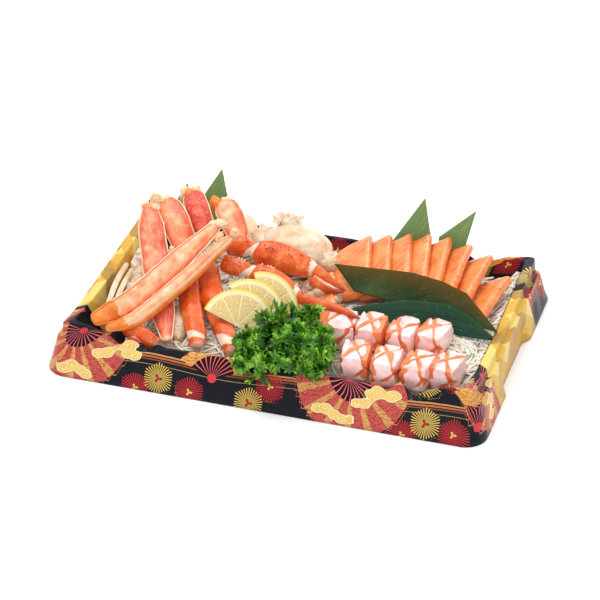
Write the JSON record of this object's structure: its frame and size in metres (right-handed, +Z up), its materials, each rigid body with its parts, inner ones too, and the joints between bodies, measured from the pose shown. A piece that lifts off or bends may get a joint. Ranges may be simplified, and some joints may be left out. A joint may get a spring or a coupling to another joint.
{
  "type": "sashimi plate",
  "caption": "Shallow rectangular tray with a raised printed rim, filled with crab legs and claws, sliced and seared salmon, lemon, parsley, leaves and shredded radish",
  "frame": {"origin": "centre of the tray's outline, on the surface that it stands on", "axes": "+X along the tray's long side, to the right as it is served; +Y towards its back; +Z up"},
  "size_m": [0.4, 0.267, 0.099],
  "materials": {
    "printed_plastic": "glossy printed film",
    "salmon": "moist",
    "seared_salmon": "moist, lightly seared",
    "crab_shell": "wet shell",
    "crab_meat": "moist",
    "crab_body": "moist",
    "lemon": "moist",
    "bamboo_leaf": "satin leaf",
    "parsley": "fresh leaf",
    "radish": "moist"
  },
  "bodies": {
    "root": {"claw_1": "crab_shell", "claw_2": "crab_shell", "crab_body_back": "crab_body", "crab_body_front": "crab_body", "crab_body_left": "crab_body", "crab_body_middle": "crab_body", "crab_shell_back": "crab_body", "crab_shell_front": "crab_shell", "crab_strand_1": "crab_body", "crab_strand_2": "crab_body", "leaf_laid_1": "bamboo_leaf", "leaf_laid_2": "bamboo_leaf", "leaf_standing_1": "bamboo_leaf", "leaf_standing_2": "bamboo_leaf", "leaf_standing_3": "bamboo_leaf", "leaf_standing_4": "bamboo_leaf", "leg_crossing_1": "crab_meat", "leg_crossing_2": "crab_meat", "leg_lower_1": "crab_shell", "leg_lower_2": "crab_shell", "leg_upright_1": "crab_meat", "leg_upright_2": "crab_meat", "leg_upright_3": "crab_meat", "leg_upright_4": "crab_meat", "lemon_1": "lemon", "lemon_2": "lemon", "lemon_3": "lemon", "parsley": "parsley", "radish_bed": "radish", "radish_left": "radish", "salmon_slice_1": "salmon", "salmon_slice_2": "salmon", "salmon_slice_3": "salmon", "salmon_slice_4": "salmon", "salmon_slice_5": "salmon", "salmon_slice_6": "salmon", "salmon_slice_7": "salmon", "salmon_slice_8": "salmon", "salmon_slice_9": "salmon", "seared_back_1": "seared_salmon", "seared_back_2": "seared_salmon", "seared_back_3": "seared_salmon", "seared_back_4": "seared_salmon", "seared_front_1": "seared_salmon", "seared_front_2": "seared_salmon", "seared_front_3": "seared_salmon", "seared_front_4": "seared_salmon", "tray": "printed_plastic"}
  },
  "joints": []
}
